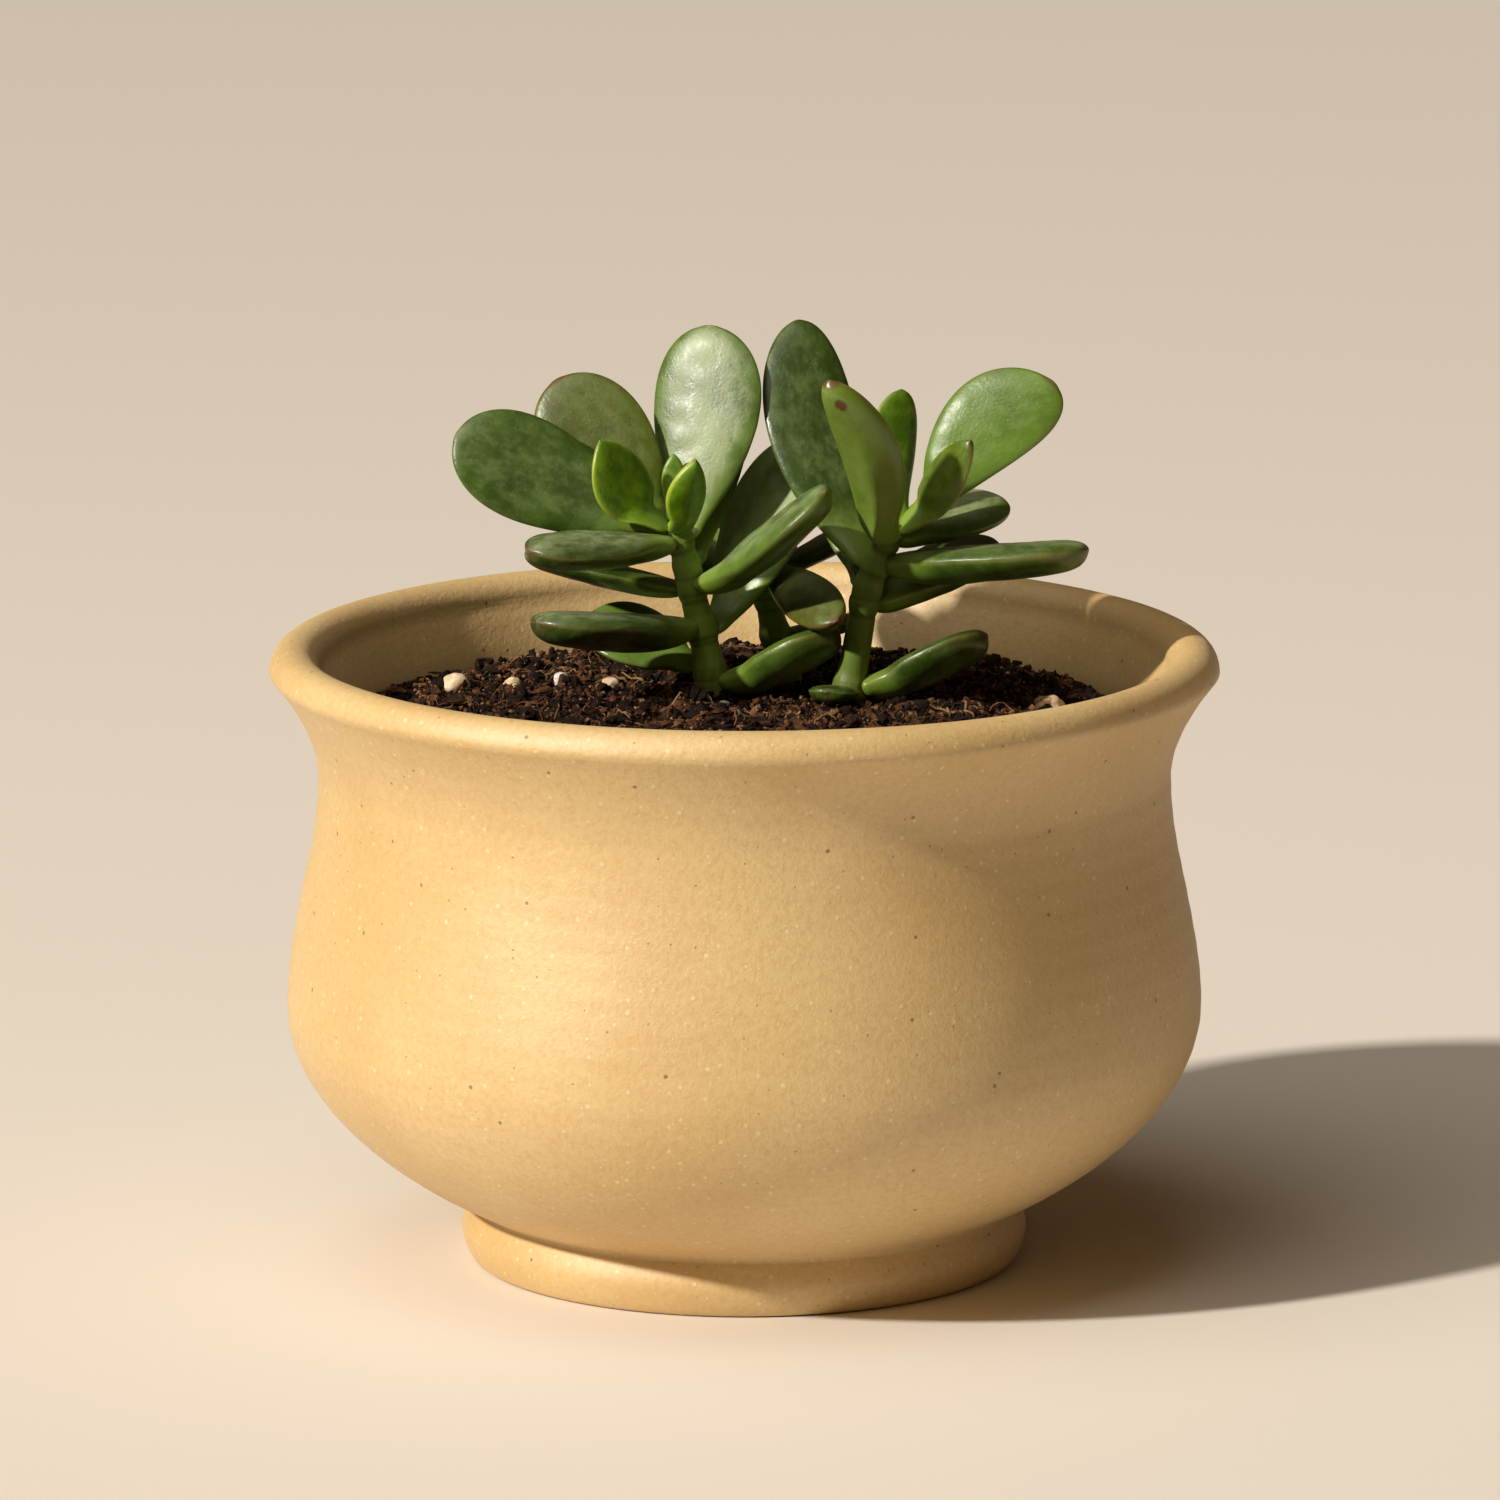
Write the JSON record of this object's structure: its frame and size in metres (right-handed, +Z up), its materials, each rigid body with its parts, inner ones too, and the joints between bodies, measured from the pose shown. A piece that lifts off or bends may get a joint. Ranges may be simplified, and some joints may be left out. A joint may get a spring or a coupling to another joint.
{
  "type": "potted jade plant",
  "caption": "Young jade plant with thick rounded green leaves, planted in dark soil in a round, footed ochre stoneware pot with a flared rim.",
  "frame": {"origin": "on the pot's axis, in the plane of the foot ring that it stands on", "axes": "+Z up along the pot's axis, the picture's viewer on the -Y side, +X to the viewer's right"},
  "size_m": [0.12, 0.12, 0.1167],
  "materials": {
    "stoneware": "matte",
    "soil_mix": "matte",
    "leaf": "satin",
    "young_leaf": "satin",
    "stem": "satin",
    "perlite": "matte",
    "pebble": "matte"
  },
  "bodies": {
    "root": {"back_leaf_01": "leaf", "back_leaf_02": "leaf", "back_leaf_03": "leaf", "back_leaf_04": "leaf", "back_leaf_05": "leaf", "back_leaf_06": "young_leaf", "back_leaf_07": "young_leaf", "back_stem": "stem", "left_leaf_01": "leaf", "left_leaf_02": "leaf", "left_leaf_03": "leaf", "left_leaf_04": "leaf", "left_leaf_05": "leaf", "left_leaf_06": "leaf", "left_leaf_07": "leaf", "left_leaf_08": "leaf", "left_leaf_09": "leaf", "left_leaf_10": "leaf", "left_leaf_11": "leaf", "left_leaf_12": "young_leaf", "left_leaf_13": "young_leaf", "left_leaf_14": "young_leaf", "left_stem": "stem", "pebble_1": "pebble", "pebble_2": "pebble", "pebble_3": "pebble", "pebble_4": "pebble", "perlite_1": "perlite", "perlite_2": "perlite", "perlite_3": "perlite", "perlite_4": "perlite", "pot": "stoneware", "right_leaf_01": "leaf", "right_leaf_02": "leaf", "right_leaf_03": "leaf", "right_leaf_04": "leaf", "right_leaf_05": "leaf", "right_leaf_06": "leaf", "right_leaf_07": "leaf", "right_leaf_08": "leaf", "right_leaf_09": "leaf", "right_leaf_10": "young_leaf", "right_leaf_11": "young_leaf", "right_stem": "stem", "soil": "soil_mix"}
  },
  "joints": []
}
